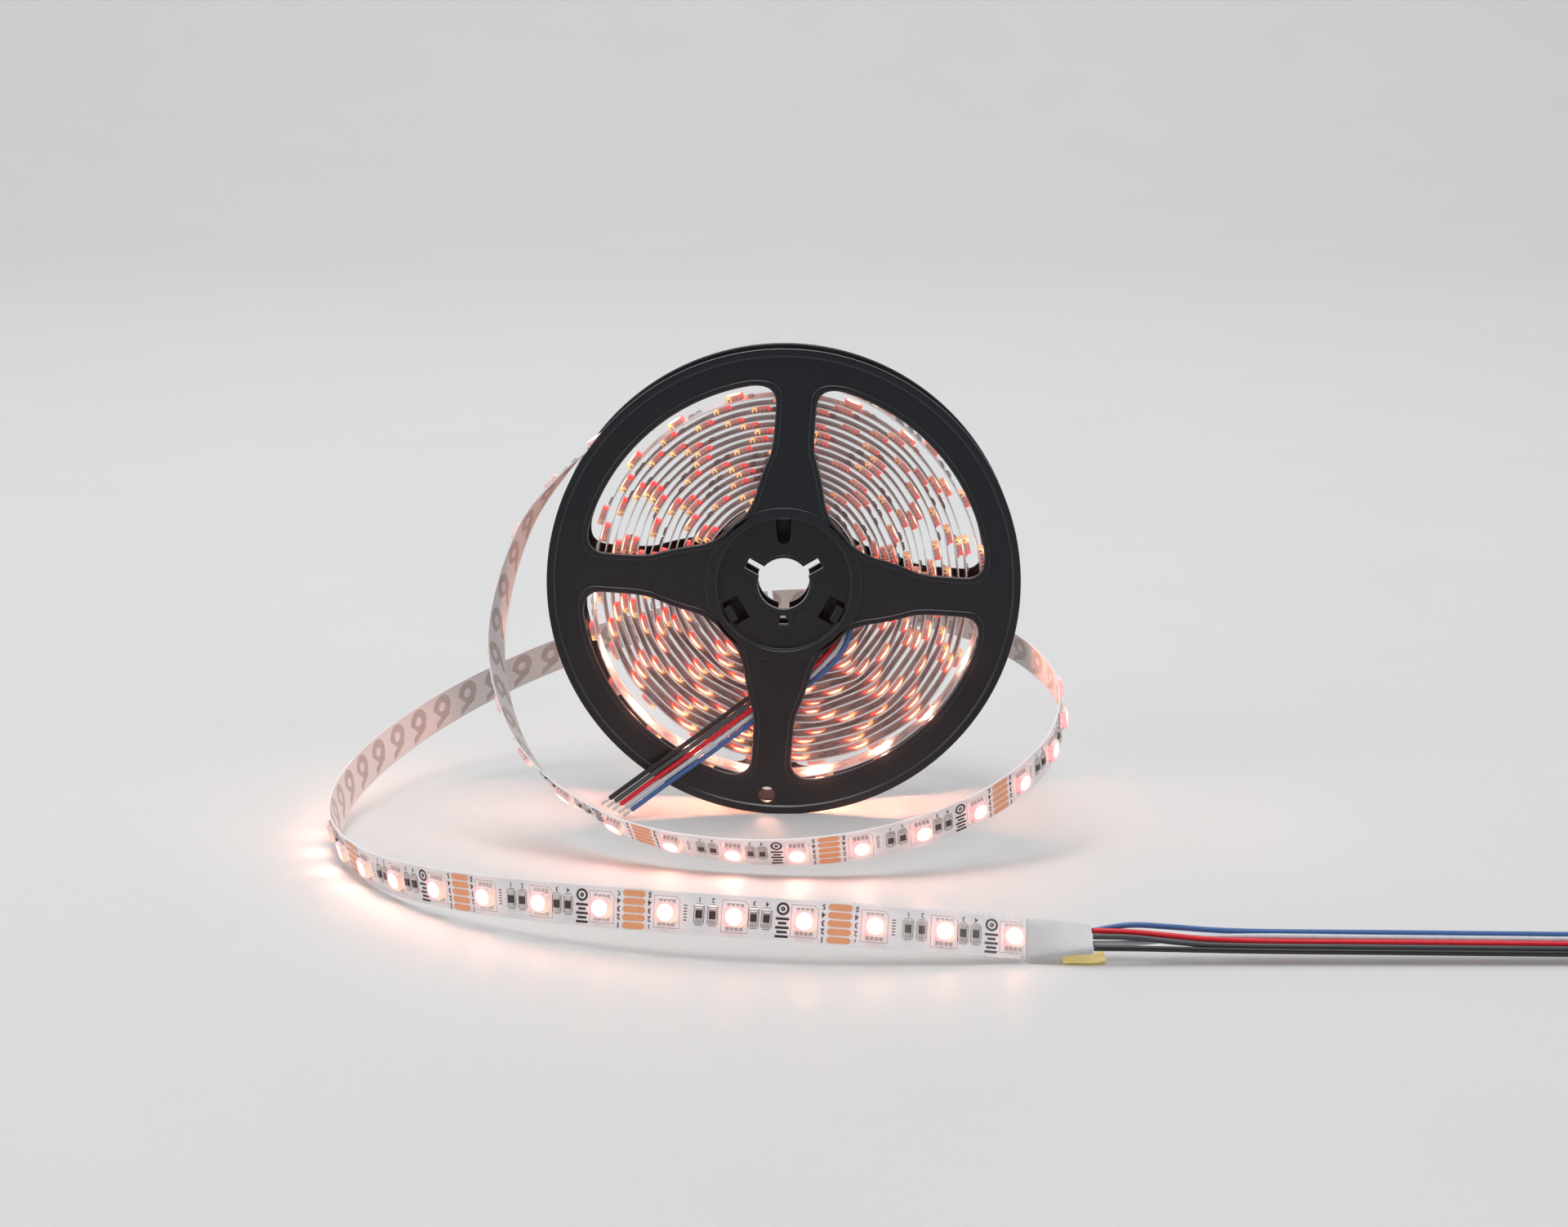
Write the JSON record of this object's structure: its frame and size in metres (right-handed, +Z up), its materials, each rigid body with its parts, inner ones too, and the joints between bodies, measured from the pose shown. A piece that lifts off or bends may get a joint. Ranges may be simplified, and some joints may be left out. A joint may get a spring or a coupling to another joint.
{
  "type": "led strip light reel",
  "caption": "Black two-part plastic reel standing on its rims, wound with a flexible light strip whose outer end runs out in two loops to a five-wire lead",
  "frame": {"origin": "middle of the bounding box's base, measured without the two leads and their tips", "axes": "+Z up, the reel's axis along Y, the strip's free loops and the outer lead in front at -Y"},
  "size_m": [0.3497, 0.207, 0.1309],
  "materials": {
    "reel": "black moulded polystyrene with a fine satin grain",
    "strip": "white coated flexible circuit, light grey backing paper behind",
    "clear": "clear glossy film sleeve",
    "sleeve": "white heat-shrunk sleeve",
    "tape": "yellow adhesive tape",
    "tin": "tinned copper strands",
    "wire_blue": "smooth blue vinyl insulation",
    "wire_white": "smooth white vinyl insulation",
    "wire_red": "smooth red vinyl insulation",
    "wire_grey": "smooth grey vinyl insulation",
    "wire_black": "smooth black vinyl insulation"
  },
  "bodies": {
    "root": {"reel_front": "reel", "reel_rear": "reel", "strip_roll": "strip", "strip_loop_inner": "strip", "strip_loop_outer": "strip", "clear_sleeve": "clear", "end_sleeve": "sleeve", "inner_sleeve": "sleeve", "tape_tab": "tape", "lead_out_blue": "wire_blue", "tip_out_blue": "tin", "lead_in_blue": "wire_blue", "tip_in_blue": "tin", "lead_out_white": "wire_white", "tip_out_white": "tin", "lead_in_white": "wire_white", "tip_in_white": "tin", "lead_out_red": "wire_red", "tip_out_red": "tin", "lead_in_red": "wire_red", "tip_in_red": "tin", "lead_out_grey": "wire_grey", "tip_out_grey": "tin", "lead_in_grey": "wire_grey", "tip_in_grey": "tin", "lead_out_black": "wire_black", "tip_out_black": "tin", "lead_in_black": "wire_black", "tip_in_black": "tin"}
  },
  "joints": []
}
